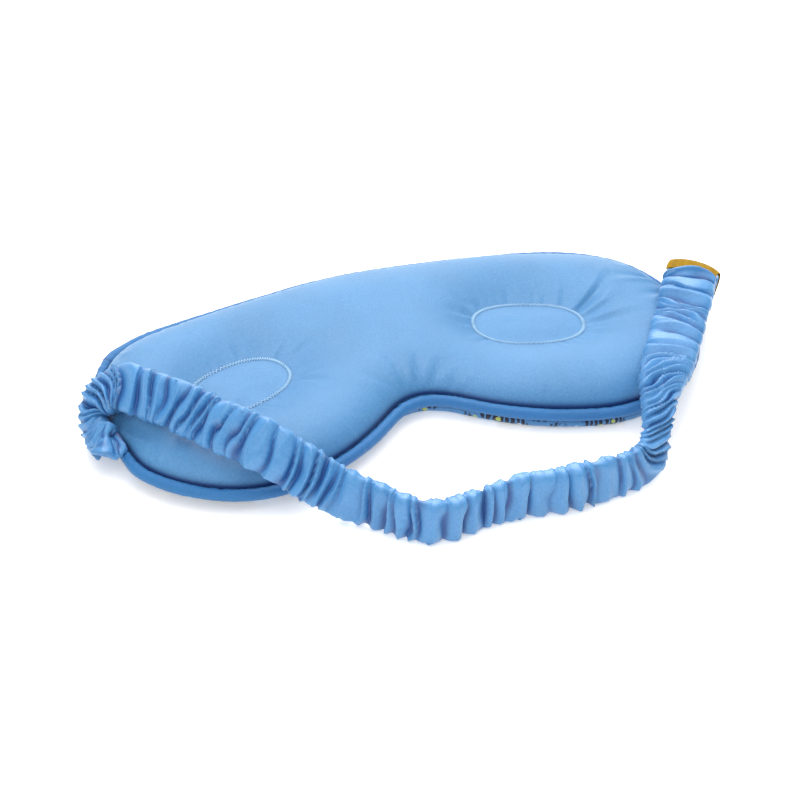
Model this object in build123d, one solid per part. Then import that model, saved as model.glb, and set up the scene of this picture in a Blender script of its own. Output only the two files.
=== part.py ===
from build123d import *
import os
from math import cos, radians, sin

# A padded sleep mask lying on its printed front, with its gathered elastic strap
# folded forward over it.  Origin: on the resting plane, under the middle of the mask.
# +X runs along the mask, +Y to the brow edge, +Z from the printed front to the skin side.

# ---- driving dimensions, mm ----
mask_width = 203.4          # over the piping, tip to tip
mask_height = 96.0          # over the piping, brow to the lowest point of the lobes
front_depth = 6.0           # seam level above the resting plane
back_depth = 10.0           # top of the padded back above the seam level
satin = 0.5                 # panel cloth with its interlining
seam_allowance = 5.0        # cloth turned in behind the seam
piping_diameter = 4.0
piping_wall = 0.45          # folded bias strip round the cord
cord_play = 0.1             # between the cord and the strip
lining_thickness = 0.3
clearance = 0.3             # between pieces that only lie on each other
front_edge_round = 4.6      # how round the front falls to the seam
back_edge_round = 8.0       # how round the back falls to the seam
eye_length = 35.6           # the stitched oval over each eye
eye_height = 20.6
eye_spacing = 96.0          # between the centres of the two ovals
eye_rise = 4.7              # of the ovals' centres above the mask's middle
eye_tilt = 18.0             # degrees, outer ends lower
eye_sink = 5.0              # depth of the stitched oval under the padded back
eye_slope = 4.5             # how far the padding's bank runs out round each oval
stitch_width = 1.2
stitch_height = 0.4
tack_length = 9.0           # of the bar of stitches across each sewn end
sleeve_width = 18.0
sleeve_thickness = 3.4      # ruched, so much thicker than two layers of satin
elastic_width = 13.0
elastic_thickness = 1.0
elastic_play = 0.3          # between the elastic and the sleeve, all round
joint_gap = 0.4             # between the swinging strap and its sewn ends
sewn_depth = 6.0            # how far the strap's ends reach in behind the seam
label_thickness = 0.5
label_gap = 0.1
swing_left = -78.0          # the strap swings between these two planes
swing_right = 90.0

# ---- worked out ----
seam_level = front_depth
mask_thickness = front_depth + back_depth
piping_radius = piping_diameter / 2
flange_half = piping_wall
panel_inset = piping_diameter + 0.2
flange_inset = panel_inset + seam_allowance
lining_level = seam_level + flange_half
back_level = lining_level + lining_thickness
front_level = seam_level - flange_half
pattern_width = 203.4       # the size that the outline and the strap's route are drawn at
pattern_height = 96.0


def grade(x, y):
    """Move a point of the pattern to the size of this mask."""
    return x * mask_width / pattern_width, y * mask_height / pattern_height


# ---- outline: corners of the right half, from the brow to the nose, all rounded ----
half_pattern = [(45.3, 46.3), (83.8, 39.8), (102.9, 13.7), (99.4, -25.8), (65.5, -49.2), (26.7, -37.1)]
brow_peak = (0.0, 52.3)
nose_peak = (0.0, -15.5)
corner_share = 0.48         # of the shorter side next to a corner, taken by its rounding


def outline_wire():
    """The outer edge of the piping: short straight runs joined by tangent arcs."""
    mirrored = [(-x, y) for x, y in reversed(half_pattern)]
    corners = [Vector(*grade(*p)) for p in [brow_peak] + half_pattern + [nose_peak] + mirrored]
    radii = []
    for i, corner in enumerate(corners):
        before = corners[i - 1] - corner
        after = corners[(i + 1) % len(corners)] - corner
        half_turn = radians((180 - before.get_angle(after)) / 2)
        radii.append(corner_share * min(before.length, after.length) * cos(half_turn) / sin(half_turn))
    return FilletPolyline(*corners, radius=radii, close=True)


outline = outline_wire()
outline_face = make_face(outline)


def inset_face(inset):
    return offset(outline_face, -inset, kind=Kind.ARC)


def plate(inset, low, high):
    """A plate with the mask's outline, brought in by inset, between two levels."""
    return Pos(0, 0, low) * extrude(inset_face(inset), high - low)


def pillow(inset, low, high, roundness, top):
    """A plate with the edges of its top or bottom face rounded over."""
    body = plate(inset, low, high)
    faces = body.faces().sort_by(Axis.Z)
    face = faces[-1] if top else faces[0]
    return fillet(face.edges(), roundness)


# ---- eye recesses ----
def eye_ellipse(side, grow, level):
    place = Pos(side * eye_spacing / 2, eye_rise, level) * Rot(0, 0, -side * eye_tilt)
    return place * Ellipse(eye_length / 2 + grow, eye_height / 2 + grow)


def eye_pits(skin):
    """Both sunk ovals, with their banks, made larger by skin on the bottom and sides."""
    floor_level = mask_thickness - eye_sink - skin
    pits = []
    for side in (-1, 1):
        floor = eye_ellipse(side, stitch_width + skin, floor_level)
        rim = eye_ellipse(side, stitch_width + skin + eye_slope, mask_thickness)
        above = eye_ellipse(side, stitch_width + skin + eye_slope, mask_thickness + 1)
        pits.append(loft([floor, rim]) + loft([rim, above]))
    return pits


# ---- strap route ----
# Each station: x, y, what the strap rests on, facing of its width in plan, lean of its
# width out of level, and how far it is bunched up in width.  The width runs from the edge
# that is lower on the front run to the edge that is higher there.
on_table = 0.0
on_seam = seam_level + piping_radius
on_mask = mask_thickness
left_route = [
    (-98.5, -7.0, on_seam, -90, 0, 0.85),
    (-101.6, -6.2, on_seam, -108, -8, 0.85),
    (-104.0, -3.0, 0.45 * on_seam, -135, -30, 0.8),
    (-104.8, 3.0, 0.25 * on_seam, -180, -48, 0.78),
    (-103.5, 8.4, 0.4 * on_mask, -220, -33, 0.78),
    (-97.2, 11.3, 0.9 * on_mask, -262, -5, 0.78),
    (-91.0, 8.0, on_mask, -293, 24, 0.88),
    (-86.0, 0.4, on_mask, -302, 42, 1.0),
    (-79.5, -11.4, on_mask, -303, 50, 1.0),
    (-71.4, -24.2, on_mask, -308, 52, 1.0),
    (-62.5, -36.5, on_mask, -312, 55, 1.0),
    (-53.8, -45.6, 0.65 * on_mask, -316, 62, 1.0),
    (-43.4, -53.6, 0.15 * on_mask, -318, 76, 1.0),
    (-34.0, -62.9, on_table, -320, 84, 1.0),
]
front_route = [
    (-27.5, -71.0, on_table, -305, 88, 0.95),
    (-18.5, -76.0, on_table, -280, 90, 0.85),
    (-7.5, -75.0, on_table, -265, 90, 0.9),
    (8.0, -74.0, on_table, -268, 90, 1.0),
    (21.0, -75.6, on_table, -272, 90, 1.0),
    (34.0, -75.4, on_table, -265, 90, 1.0),
    (46.5, -74.0, on_table, -250, 86, 0.95),
    (54.5, -70.0, 0.15 * on_mask, -226, 62, 0.8),
    (60.0, -62.0, 0.5 * on_mask, -212, 34, 0.66),
    (64.6, -53.0, 0.85 * on_mask, -212, 12, 0.75),
]
right_route = [
    (69.5, -45.5, on_mask, -216, 4, 0.86),
    (75.8, -37.5, on_mask, -220, 0, 0.95),
    (88.2, -22.0, on_mask, -228, 0, 1.0),
    (97.7, -9.0, on_mask, -228, 0, 1.0),
    (106.2, 3.6, 0.94 * on_mask, -226, 0, 1.0),
]
bight_route = [
    (109.6, 7.4, 0.84 * on_mask, -226, 0, 1.0),
    (111.6, 9.4, 0.66 * on_mask, -226, 0, 1.0),
    (109.6, 7.4, on_seam, -226, 0, 1.0),
]
return_route = [
    (104.6, 2.0, on_seam, -241, 0, 1.0),
    (99.0, -1.0, on_seam, -262, 0, 1.0),
]


class Station:
    """One cross-section of the strap: its centre, and the direction of its width."""

    def __init__(self, x, y, rests_on, facing, lean, bunching):
        across = sleeve_width * bunching / 2
        rise = abs(sin(radians(lean))) * across + cos(radians(lean)) * sleeve_thickness / 2
        self.centre = Vector(*grade(x, y), rests_on + clearance + rise)
        level = cos(radians(lean))
        plan = radians(facing)
        self.width_way = Vector(level * cos(plan), level * sin(plan), sin(radians(lean)))
        self.bunching = bunching

    def moved(self, shift):
        other = Station(0, 0, 0, 0, 0, self.bunching)
        other.centre = self.centre + shift
        other.width_way = self.width_way
        return other


def with_sewn_end(stations, shift):
    """Add the level stretch of the strap that is caught behind the seam."""
    return [stations[0].moved(Vector(shift, 0, 0))] + stations


sections = [Station(*s) for s in left_route + front_route + right_route + bight_route + return_route]
sections = with_sewn_end(sections, sewn_depth)
sections = with_sewn_end(sections[::-1], -sewn_depth)[::-1]
label_first = 1 + len(left_route + front_route + right_route) - 1
label_last = label_first + len(bight_route) + 1


def ribbon(stations, width, thickness):
    """A flat band through the stations, with level sides between neighbours."""
    profiles = []
    for i, station in enumerate(stations):
        before = stations[max(i - 1, 0)].centre
        after = stations[min(i + 1, len(stations) - 1)].centre
        way = station.width_way
        face_way = (after - before).cross(way).normalized()
        across = way * (width * station.bunching / 2)
        through = face_way * (thickness / 2)
        middle = station.centre
        corners = [
            middle + across + through,
            middle - across + through,
            middle - across - through,
            middle + across - through,
        ]
        profiles.append(make_face(Polyline(*corners, close=True)))
    return loft(profiles, ruled=True)


def slab(low_x, high_x):
    """All space between two planes square to X."""
    reach = 4 * mask_width
    middle = (low_x + high_x) / 2
    return Pos(middle, 0, 0) * Box(high_x - low_x, reach, reach)


# ---- pieces ----
def make_panels():
    back_inside = pillow(panel_inset + satin, back_level + satin, mask_thickness - satin,
                         back_edge_round - satin, True)
    for pit in eye_pits(satin):
        back_inside -= pit
    back = pillow(panel_inset, back_level, mask_thickness, back_edge_round, True)
    for pit in eye_pits(0):
        back -= pit
    back -= back_inside
    back -= plate(flange_inset, back_level - satin, back_level + 2 * satin)
    front = pillow(panel_inset, 0, front_level, front_edge_round, False)
    front -= pillow(panel_inset + satin, satin, front_level - satin, front_edge_round - satin, False)
    front -= plate(flange_inset, front_level - 2 * satin, front_level + satin)
    return back, front


def make_fillings():
    gap = satin + clearance
    top_level = mask_thickness - gap
    seam_top = back_level + satin + stitch_height + clearance
    back_padding = pillow(panel_inset + gap, seam_top, top_level, back_edge_round - gap, True)
    for pit in eye_pits(gap):
        back_padding -= pit
    wadding_top = front_level - satin - clearance
    front_wadding = pillow(panel_inset + gap, gap, wadding_top, front_edge_round - gap, False)
    return back_padding, front_wadding


def round_the_edge(inset, level, section):
    """Carry a section round the mask; its X points inwards and its Y up."""
    path = Pos(0, 0, level) * inset_face(inset).face().outer_wire()
    way = path % 0
    inward = Vector(0, 0, 1).cross(way)
    if (path @ 0 + inward).length > (path @ 0).length:
        inward = -inward
    return sweep(Plane(path @ 0, x_dir=inward, z_dir=way) * section, path=path)


def make_piping():
    """The bias strip, folded round its cord and sewn into a flange, and the cord."""
    reach = flange_inset - piping_radius
    flange = Pos(reach / 2, 0) * Rectangle(reach, 2 * flange_half)
    section = Circle(piping_radius) + flange - Circle(piping_radius - piping_wall)
    cover = round_the_edge(piping_radius, seam_level, section)
    cord = Circle(piping_radius - piping_wall - cord_play)
    return cover, round_the_edge(piping_radius, seam_level, cord)


def make_seam():
    """The run of stitches round the turned-in allowance."""
    inset = panel_inset + seam_allowance / 2
    level = back_level + satin + stitch_height / 2
    return round_the_edge(inset, level, Rectangle(stitch_width / 2, stitch_height))


def make_eye_stitch(side):
    level = mask_thickness - eye_sink
    outer = extrude(eye_ellipse(side, stitch_width / 2, level), stitch_height)
    return outer - extrude(eye_ellipse(side, -stitch_width / 2, level), stitch_height)


def make_tack(station, inward):
    """The bar of stitches across the sewn end of the strap."""
    level = station.centre.Z + sleeve_thickness / 2 + stitch_height / 2
    place = Pos(station.centre.X + inward * (sewn_depth - stitch_width), station.centre.Y, level)
    return place * Box(stitch_width, tack_length, stitch_height)


os.makedirs("parts", exist_ok=True)
back_panel, front_panel = make_panels()
back_padding, front_wadding = make_fillings()
piping_cover, piping_cord = make_piping()

cavity_width = elastic_width + 2 * elastic_play
cavity_thickness = elastic_thickness + 2 * elastic_play
whole_sleeve = ribbon(sections, sleeve_width, sleeve_thickness)
whole_cavity = ribbon(sections, cavity_width, cavity_thickness)
whole_elastic = ribbon(sections, elastic_width, elastic_thickness)
left_side = slab(-2 * mask_width, swing_left - joint_gap / 2)
right_side = slab(swing_right + joint_gap / 2, 2 * mask_width)
swinging = slab(swing_left + joint_gap / 2, swing_right - joint_gap / 2)
hollow_sleeve = whole_sleeve - whole_cavity

label_sections = sections[label_first:label_last]
label_outer = sleeve_thickness + 2 * (label_gap + label_thickness)
label_band = ribbon(label_sections, sleeve_width + 2 * (label_gap + label_thickness), label_outer)
label_band -= ribbon(sections, sleeve_width + 2 * label_gap, sleeve_thickness + 2 * label_gap)

strap_room = sleeve_thickness + 2 * clearance
for station, inward in ((sections[1], 1), (sections[-2], -1)):
    room = Box(2 * sewn_depth + 4, sleeve_width + 2, strap_room + 2 * stitch_height)
    room = Pos(station.centre.X + inward * 2, station.centre.Y, station.centre.Z) * room
    back_padding -= room
    tight = Box(2 * sewn_depth, sleeve_width + 2 * clearance, strap_room)
    tight = Pos(station.centre.X, station.centre.Y, station.centre.Z) * tight
    back_panel -= tight

parts = {
    "back_panel": back_panel,
    "front_panel": front_panel,
    "back_padding": back_padding,
    "front_wadding": front_wadding,
    "blackout_lining": plate(panel_inset, lining_level, lining_level + lining_thickness),
    "piping_cover": piping_cover,
    "piping_cord": piping_cord,
    "perimeter_seam": make_seam(),
    "eye_stitch_left": make_eye_stitch(-1),
    "eye_stitch_right": make_eye_stitch(1),
    "strap_sleeve": hollow_sleeve & swinging,
    "strap_end_left": hollow_sleeve & left_side,
    "strap_end_right": hollow_sleeve & right_side,
    "strap_elastic": whole_elastic & swinging,
    "elastic_end_left": whole_elastic & left_side,
    "elastic_end_right": whole_elastic & right_side,
    "label_band": label_band,
    "strap_tack_left": make_tack(sections[1], 1),
    "strap_tack_right": make_tack(sections[-2], -1),
}
for name, shape in parts.items():
    export_step(shape, f"parts/{name}.step")
    print(name, len(shape.solids()), round(shape.volume, 1), shape.bounding_box())
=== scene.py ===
import math

import bmesh
import bpy
import numpy as np
from mathutils import Matrix, Vector


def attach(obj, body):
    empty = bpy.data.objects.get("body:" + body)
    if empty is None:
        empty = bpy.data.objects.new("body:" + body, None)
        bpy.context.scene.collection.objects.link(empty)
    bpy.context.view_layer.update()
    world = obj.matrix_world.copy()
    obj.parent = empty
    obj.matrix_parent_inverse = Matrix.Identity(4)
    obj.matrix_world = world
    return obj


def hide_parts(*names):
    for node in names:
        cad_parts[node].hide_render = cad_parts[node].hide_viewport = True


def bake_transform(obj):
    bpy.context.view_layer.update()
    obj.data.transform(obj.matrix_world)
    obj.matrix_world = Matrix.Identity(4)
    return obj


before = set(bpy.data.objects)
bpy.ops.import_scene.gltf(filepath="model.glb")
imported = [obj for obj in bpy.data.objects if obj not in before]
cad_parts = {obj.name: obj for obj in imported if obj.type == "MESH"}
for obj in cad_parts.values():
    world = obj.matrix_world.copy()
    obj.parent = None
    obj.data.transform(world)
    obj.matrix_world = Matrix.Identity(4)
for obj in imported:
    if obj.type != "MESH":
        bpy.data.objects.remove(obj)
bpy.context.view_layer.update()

bl_info = {
    "name": "Padded Sleep Mask",
    "version": (1, 0, 0),
    "blender": (4, 5, 0),
    "location": "3D View > Sidebar > Sleep Mask",
    "description": "Makes a padded satin sleep mask with piping and a gathered elastic strap",
    "category": "Object",
}

MM = 0.001

# ---- the pattern of the mask, mm, as the model was cut ----
HALF_PATTERN = [(45.3, 46.3), (83.8, 39.8), (102.9, 13.7), (99.4, -25.8), (65.5, -49.2), (26.7, -37.1)]
BROW_PEAK = (0.0, 52.3)
NOSE_PEAK = (0.0, -15.5)
CORNER_SHARE = 0.48
NOSE_SHARE = 0.30
SEAM_LEVEL = 6.0
PIPING_RADIUS = 1.9
PANEL_INSET = 3.7
CORE_INSET = 13.0           # where the rings round the edge meet the middle of a panel
EYE_HALF = (17.8, 10.3)
EYE_CENTRES = {-1: (-52.8, 2.5), 1: (46.3, 2.2)}   # of the left and the right oval, mm
EYE_SQUARE = 2.3              # 2 is an oval, more is squarer
EYE_TILT = 18.0
TOP_LEVEL = 16.0
SLEEVE_WIDTH = 15.6          # of the gathered cloth without its frills
SLEEVE_THICKNESS = 3.4
ELASTIC_WIDTH = 13.0
SEWN_DEPTH = 6.0
CLEARANCE = 0.3

# ---- the strap's route: x, y, level it rests on, facing, lean, bunching ----
LEFT_SEWN = 0.65             # share of the sewn depth used at the left end, where the tip is drawn in
ON_TABLE, ON_SEAM, ON_MASK = 0.0, 8.0, 15.3
LEFT_ROUTE = [
    (-99.2, -8.2, 0.82 * ON_SEAM, -90, 0, 0.80), (-101.0, -8.2, 0.9 * ON_SEAM, -104, -8, 0.80),
    (-101.0, -4.6, 0.5 * ON_SEAM, -135, -30, 0.66), (-100.3, 2.6, 0.35 * ON_SEAM, -180, -48, 0.56),
    (-98.4, 6.6, 0.45 * ON_MASK, -220, -33, 0.66), (-95.8, 5.8, 0.9 * ON_MASK, -262, -5, 0.90),
    (-91.8, 3.2, ON_MASK, -288, 22, 0.96), (-87.4, -3.6, ON_MASK, -301, 41, 0.93),
    (-80.2, -13.4, ON_MASK, -303, 50, 0.97), (-72.4, -26.0, ON_MASK, -308, 52, 0.99),
    (-64.0, -39.2, ON_MASK, -312, 55, 1.01), (-54.8, -47.8, 0.65 * ON_MASK, -316, 62, 0.99),
    (-43.8, -54.0, 0.15 * ON_MASK, -318, 76, 1.0), (-34.0, -62.0, ON_TABLE, -320, 84, 1.0),
]
FRONT_ROUTE = [
    (-27.5, -69.6, ON_TABLE, -305, 88, 0.97), (-18.5, -74.2, ON_TABLE, -280, 90, 0.92),
    (-7.5, -73.2, ON_TABLE, -265, 90, 0.92), (8.0, -72.2, ON_TABLE, -268, 90, 1.0),
    (21.0, -73.8, ON_TABLE, -272, 90, 1.0), (34.0, -73.6, ON_TABLE, -265, 90, 1.0),
    (46.5, -72.4, ON_TABLE, -250, 86, 0.94), (54.5, -68.8, 0.15 * ON_MASK, -226, 62, 0.76),
    (60.0, -61.4, 0.5 * ON_MASK, -212, 34, 0.6), (64.6, -52.8, 0.85 * ON_MASK, -212, 12, 0.72),
]
RIGHT_ROUTE = [
    (69.5, -45.5, ON_MASK, -216, 4, 0.9), (75.8, -37.5, ON_MASK, -220, 0, 1.01),
    (87.2, -22.0, ON_MASK, -228, 0, 1.05), (96.4, -9.4, ON_MASK, -228, 0, 1.04),
    (104.0, 1.8, 0.96 * ON_MASK, -226, 0, 1.02),
]
BIGHT_ROUTE = [
    (107.1, 5.0, 0.88 * ON_MASK, -226, 0, 1.0), (109.1, 7.2, 0.68 * ON_MASK, -226, 0, 1.0),
    (107.1, 5.2, ON_SEAM, -226, 0, 1.0),
]
RETURN_ROUTE = [(103.6, 1.2, ON_SEAM, -241, 0, 1.0), (99.0, -1.0, ON_SEAM, -262, 0, 1.0)]


# ---------------------------------------------------------------- sizes and colours
class MaskSizes(bpy.types.PropertyGroup):
    """Sizes of the padded mask"""
    around: bpy.props.IntProperty(name="Stations Around",
                                  description="Mesh stations along the brow and nose edges", default=224)
    up: bpy.props.IntProperty(name="Stations Up", description="Mesh stations along each end", default=96)
    fullness: bpy.props.FloatProperty(name="Fullness", description="How square the padded edge stands",
                                      default=0.5)
    run_in: bpy.props.FloatProperty(name="Run-in", description="Width of the padding's rounded edge, mm",
                                    default=20.0)
    eye_sink: bpy.props.FloatProperty(name="Eye Sink", description="Depth of the stitched ovals, mm",
                                      default=4.9)
    eye_bank: bpy.props.FloatProperty(name="Eye Bank", description="Width of the slope round each oval, mm",
                                      default=10.5)
    tip_draw: bpy.props.FloatProperty(name="Tip Draw",
                                      description="How far the elastic draws in the left tip, mm",
                                      default=2.6)
    brow_draw: bpy.props.FloatProperty(name="Brow Draw",
                                       description="How far the seam draws in the right of the brow, mm",
                                       default=2.2)


class StrapSizes(bpy.types.PropertyGroup):
    """Sizes of the gathered strap"""
    pleat_pitch: bpy.props.FloatProperty(name="Pleat Pitch",
                                         description="Average distance between pleats, mm", default=4.6)
    pleat_height: bpy.props.FloatProperty(name="Pleat Height",
                                          description="Height of a pleat over its valley, mm", default=3.3)
    frill: bpy.props.FloatProperty(name="Frill", description="How far the pleats stand out at the edges, mm",
                                   default=0.9)
    step: bpy.props.FloatProperty(name="Step", description="Mesh step along the strap, mm", default=0.4)
    seed: bpy.props.IntProperty(name="Seed", description="Seed of the uneven pleats", default=11)


def colour_property(name, words, value):
    return bpy.props.FloatVectorProperty(name=name, description=words, subtype="COLOR", size=4, min=0, max=1,
                                         default=value)


class MaskColours(bpy.types.PropertyGroup):
    """Colours of the cloths and threads, and the two painted shade colours mixed into the satins"""
    panel: colour_property("Panel", "Satin of the padded back", (0.082, 0.270, 0.520, 1))
    # painted shade: mixed into the back, front and piping satins in the grooves at the seams and along the eye
    # stitching
    panel_painted_shade: colour_property("Panel Folds", "The same satin deep in a fold", (0.006, 0.040, 0.170, 1))
    strap: colour_property("Strap", "Satin of the gathered strap", (0.085, 0.300, 0.610, 1))
    # painted shade: mixed into the strap's satin in its pleat valleys and on its cut ends
    strap_painted_shade: colour_property("Strap Folds", "The strap's satin deep in a fold", (0.000, 0.055, 0.240, 1))
    piping: colour_property("Piping", "Satin of the piping", (0.022, 0.175, 0.430, 1))
    stitch: colour_property("Eye Stitch", "Thread round the eyes", (0.360, 0.640, 0.900, 1))
    navy: colour_property("Print Dark", "Dark marks of the print", (0.002, 0.005, 0.025, 1))
    lime: colour_property("Print Light", "Light marks of the print", (0.420, 0.480, 0.110, 1))
    gold: colour_property("Label", "Woven label", (0.420, 0.235, 0.003, 1))
    white: colour_property("Fillings", "Wadding, elastic and cord", (0.780, 0.780, 0.760, 1))


# ---------------------------------------------------------------- small tools
def smoothstep(x):
    x = np.clip(x, 0, 1)
    return x * x * (3 - 2 * x)


def unit(v):
    return v / np.linalg.norm(v, axis=-1, keepdims=True)


def wavy(t, rng, waves, low, high):
    """A smooth uneven value along t: a sum of sines with random rates between low and high, and phases."""
    rates = rng.uniform(low, high, waves)
    phases = rng.uniform(0, 2 * math.pi, waves)
    return np.sin(t[..., None] * rates + phases).sum(-1) / math.sqrt(waves)


def make_piece(name, grids, material, body=None, replaces=(), merge=1e-7):
    """One mesh from grids of points in mm.  Each grid is (points, uv, shade), shade being the painted shade kept as
    a point attribute for the material; neighbours in a grid make quads, edges that lie on each other are joined,
    and the faces are turned outwards."""
    verts, faces, uvs, painted_shades, start = [], [], [], [], 0
    for points, uv, painted_shade in grids:
        rows, cols = points.shape[:2]
        index = start + np.arange(rows * cols).reshape(rows, cols)
        quads = np.stack([index[:-1, :-1], index[:-1, 1:], index[1:, 1:], index[1:, :-1]], -1).reshape(-1, 4)
        verts.append(points.reshape(-1, 3))
        uvs.append(uv.reshape(-1, 2))
        painted_shades.append(np.broadcast_to(painted_shade, (rows, cols)).reshape(-1))
        faces.append(quads)
        start += rows * cols
    verts, faces = np.concatenate(verts) * MM, np.concatenate(faces)
    uvs, painted_shades = np.concatenate(uvs), np.concatenate(painted_shades)
    mesh = bpy.data.meshes.new(name)
    mesh.from_pydata(verts, [], faces)
    layer = mesh.uv_layers.new(name="Cloth")
    layer.data.foreach_set("uv", uvs[faces.reshape(-1)].astype(np.float32).reshape(-1))
    attribute = mesh.attributes.new("painted_shade", "FLOAT", "POINT")
    attribute.data.foreach_set("value", painted_shades.astype(np.float32))
    bm = bmesh.new()
    bm.from_mesh(mesh)
    bmesh.ops.remove_doubles(bm, verts=bm.verts, dist=merge)
    bmesh.ops.dissolve_degenerate(bm, edges=bm.edges, dist=merge)
    bmesh.ops.recalc_face_normals(bm, faces=bm.faces)
    bm.to_mesh(mesh)
    bm.free()
    mesh.shade_smooth()
    mesh.materials.append(material)
    piece = bpy.data.objects.new(name, mesh)
    bpy.context.scene.collection.objects.link(piece)
    if body:
        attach(piece, body)
    if replaces:
        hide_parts(*replaces)
    return piece


def sharpen(piece, degrees):
    piece.data.set_sharp_from_angle(angle=math.radians(degrees))


def carry_round(path, radius, sides, up=(0, 0, 1), closed=True, painted_shade=0.0):
    """A tube: a circle carried along a path, square to it, with its X level and its Y nearest to up."""
    ahead = np.roll(path, -1, 0) - np.roll(path, 1, 0) if closed else np.gradient(path, axis=0)
    way = unit(ahead)
    side = unit(np.cross(way, np.asarray(up, float)))
    over = np.cross(side, way)
    turn = np.linspace(0, 2 * math.pi, sides + 1)
    turn[-1] = 0
    ring = np.asarray(radius)[..., None, None] if np.ndim(radius) else radius
    spokes = np.cos(turn)[None, :, None] * side[:, None] + np.sin(turn)[None, :, None] * over[:, None]
    points = path[:, None] + ring * spokes
    run = np.r_[0, np.cumsum(np.linalg.norm(np.diff(path, axis=0), axis=1))]
    around = np.linspace(0, 1, sides + 1) * 2 * math.pi * float(np.mean(radius))
    uv = np.stack(np.broadcast_arrays(run[:, None], around[None]), -1)
    if closed:
        points = np.concatenate([points, points[:1]])
        uv = np.concatenate([uv, uv[-1:] + [[run[-1] / len(run), 0]]])
        return [(points, uv, painted_shade)]
    caps = []
    for end in (0, -1):
        centre = np.broadcast_to(path[end], points[end].shape)
        caps.append((np.stack([points[end], centre]), np.stack([uv[end], uv[end]]), painted_shade))
    return [(points, uv, painted_shade)] + caps


# ---------------------------------------------------------------- outline and panel grids
def round_corners(corners, share, per_corner=24):
    """Closed outline: at each corner an arc that leaves both sides at share of the shorter one."""
    here = np.array(corners)
    before, after = np.roll(here, 1, 0) - here, np.roll(here, -1, 0) - here
    long_before, long_after = np.linalg.norm(before, axis=1), np.linalg.norm(after, axis=1)
    before, after = unit(before), unit(after)
    half_turn = (math.pi - np.arccos((before * after).sum(1))) / 2
    reach = share * np.minimum(long_before, long_after)
    radius = reach / np.tan(half_turn)
    middle = here + unit(before + after) * (radius / np.cos(half_turn))[:, None]
    first, last = here + before * reach[:, None] - middle, here + after * reach[:, None] - middle
    step = np.linspace(0, 1, per_corner)[None, :, None]
    sweep = (2 * half_turn)[:, None, None]
    arc = (np.sin((1 - step) * sweep) * first[:, None] + np.sin(step * sweep) * last[:, None]) / np.sin(sweep)
    return (middle[:, None] + arc).reshape(-1, 2)


def mask_outline(count):
    """count points evenly along the outer edge of the piping, clockwise from the middle of the brow,
    and their outward directions."""
    mirrored = [(-x, y) for x, y in reversed(HALF_PATTERN)]
    share = np.full(len(HALF_PATTERN) * 2 + 2, CORNER_SHARE)
    share[len(HALF_PATTERN) + 1] = NOSE_SHARE
    raw = round_corners([BROW_PEAK] + HALF_PATTERN + [NOSE_PEAK] + mirrored, share)
    first = np.argmin(np.abs(raw[:24, 0]))
    raw = np.roll(raw, -first, 0)
    ring = np.vstack([raw, raw[:1]])
    run = np.r_[0, np.cumsum(np.linalg.norm(np.diff(ring, axis=0), axis=1))]
    even = np.linspace(0, run[-1], count, endpoint=False)
    line = np.stack([np.interp(even, run, ring[:, k]) for k in (0, 1)], 1)
    span = max(1, count // 110)
    for _ in range(2):
        line = sum(np.roll(line, k, 0) for k in range(-span, span + 1)) / (2 * span + 1)
    way = unit(np.roll(line, -1, 0) - np.roll(line, 1, 0))
    return line, np.stack([-way[:, 1], way[:, 0]], 1)


def distance_in(x, y, line):
    """Distance from each point to the outline, in chunks of whole arrays."""
    flat = np.stack([x.reshape(-1), y.reshape(-1)], 1).astype(np.float32)
    line = line.astype(np.float32)
    parts = [np.sqrt(((chunk[:, None] - line[None]) ** 2).sum(-1)).min(1)
             for chunk in np.array_split(flat, 24)]
    return np.concatenate(parts).reshape(x.shape)


def panel_plan(across, up, rows, edge_inset, power=1.7):
    """Plan of a panel: rings that follow the outline from edge_inset to CORE_INSET, and the middle as a
    patch stretched between the four sides of the last ring.  Returns ring xy and insets, and patch xy
    and insets."""
    line, out = mask_outline(2 * (across + up))
    inset = edge_inset + (CORE_INSET - edge_inset) * np.linspace(0, 1, rows) ** power
    rings = line[None] - out[None] * inset[:, None, None]
    rings = np.concatenate([rings, rings[:, :1]], 1)
    half = across // 2
    last = rings[-1]
    right = last[half:half + up + 1]
    low = last[half + up:half + up + across + 1]
    left = last[half + up + across:half + 2 * up + across + 1]
    top = np.concatenate([last[half + 2 * up + across:-1], last[:half + 1]])
    low, right = low[::-1], right[::-1]
    u = np.linspace(0, 1, across + 1)[None, :, None]
    v = np.linspace(0, 1, up + 1)[:, None, None]
    patch = (1 - v) * low[None] + v * top[None] + (1 - u) * left[:, None] + u * right[:, None]
    patch -= (1 - u) * (1 - v) * low[0] + u * (1 - v) * low[-1] + (1 - u) * v * top[0] + u * v * top[-1]
    for _ in range(40):
        patch[1:-1, 1:-1] = (patch[:-2, 1:-1] + patch[2:, 1:-1] + patch[1:-1, :-2] + patch[1:-1, 2:]) / 4
    ring_in = np.broadcast_to(inset[:, None], rings.shape[:2])
    patch_in = distance_in(patch[..., 0], patch[..., 1], line)
    patch_in[0], patch_in[-1], patch_in[:, 0], patch_in[:, -1] = (CORE_INSET,) * 4
    return rings, ring_in, patch, patch_in


def eye_distance(x, y, side):
    """How far a point is outside the stitched oval, in mm: its distance from the centre, less the oval's
    reach in that direction."""
    turn = math.radians(-side * EYE_TILT)
    dx, dy = x - EYE_CENTRES[side][0], y - EYE_CENTRES[side][1]
    along = dx * math.cos(turn) + dy * math.sin(turn)
    across = -dx * math.sin(turn) + dy * math.cos(turn)
    powers = np.abs(along / EYE_HALF[0]) ** EYE_SQUARE + np.abs(across / EYE_HALF[1]) ** EYE_SQUARE
    share = powers ** (1 / EYE_SQUARE) + 1e-6
    return np.hypot(along, across) * (1 - 1 / share)


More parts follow.
